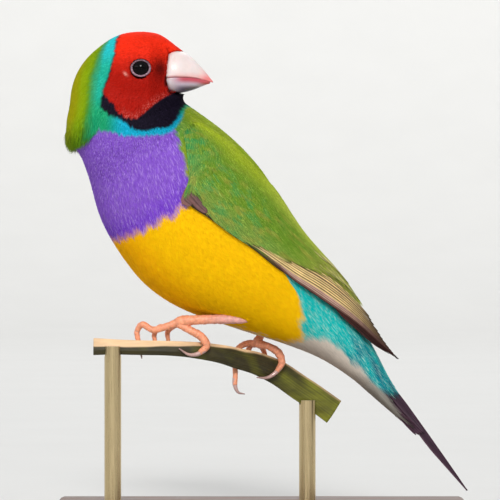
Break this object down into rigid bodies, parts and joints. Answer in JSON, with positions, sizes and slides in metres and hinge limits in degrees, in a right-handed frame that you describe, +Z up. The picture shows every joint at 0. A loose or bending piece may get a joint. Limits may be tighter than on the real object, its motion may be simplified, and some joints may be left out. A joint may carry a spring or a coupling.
{
  "type": "gouldian finch",
  "caption": "Life-size still model of a male gouldian finch looking back over its shoulder, gripping a short cut length of palm leaf on a small display stand.",
  "frame": {"origin": "centre of the base's underside", "axes": "+Z up; +X the way the bill points and the tail hangs, along the base's long side; -Y the bird's left side, which faces the viewer"},
  "size_m": [0.1, 0.056, 0.1193],
  "materials": {
    "plumage_head": "soft red face feathers, black bib and turquoise band, matte with a faint sheen",
    "plumage_neck": "soft purple breast and yellow-green nape feathers, matte",
    "plumage_body": "soft golden yellow belly feathers, matte",
    "plumage_rump": "turquoise rump and white undertail feathers, matte",
    "plumage_wing": "green covert feathers and brown flight feathers with pale edges, satin",
    "plumage_tail": "purple-black tail feathers, satin",
    "bill": "ivory horn with a red tip and pinkish lower half, smooth satin",
    "eye": "near black, wet gloss",
    "leg_skin": "orange-pink scaly skin with horn claws, satin",
    "leaf": "green leaf blade with a pale dry edge, waxy",
    "stand_wood": "dark stained hardwood, satin varnish",
    "stand_metal": "brushed brass rod"
  },
  "bodies": {
    "root": {"head": "plumage_head", "neck": "plumage_neck", "torso": "plumage_body", "rump": "plumage_rump", "wing_left": "plumage_wing", "wing_right": "plumage_wing", "tail": "plumage_tail", "bill_upper": "bill", "bill_lower": "bill", "eye_left": "eye", "eye_right": "eye", "thigh_left": "plumage_body", "thigh_right": "plumage_body", "shank_left": "leg_skin", "shank_right": "leg_skin", "foot_left": "leg_skin", "foot_right": "leg_skin", "perch_leaf": "leaf", "stand_base": "stand_wood", "stand_rod_left": "stand_metal", "stand_rod_right": "stand_metal"}
  },
  "joints": []
}
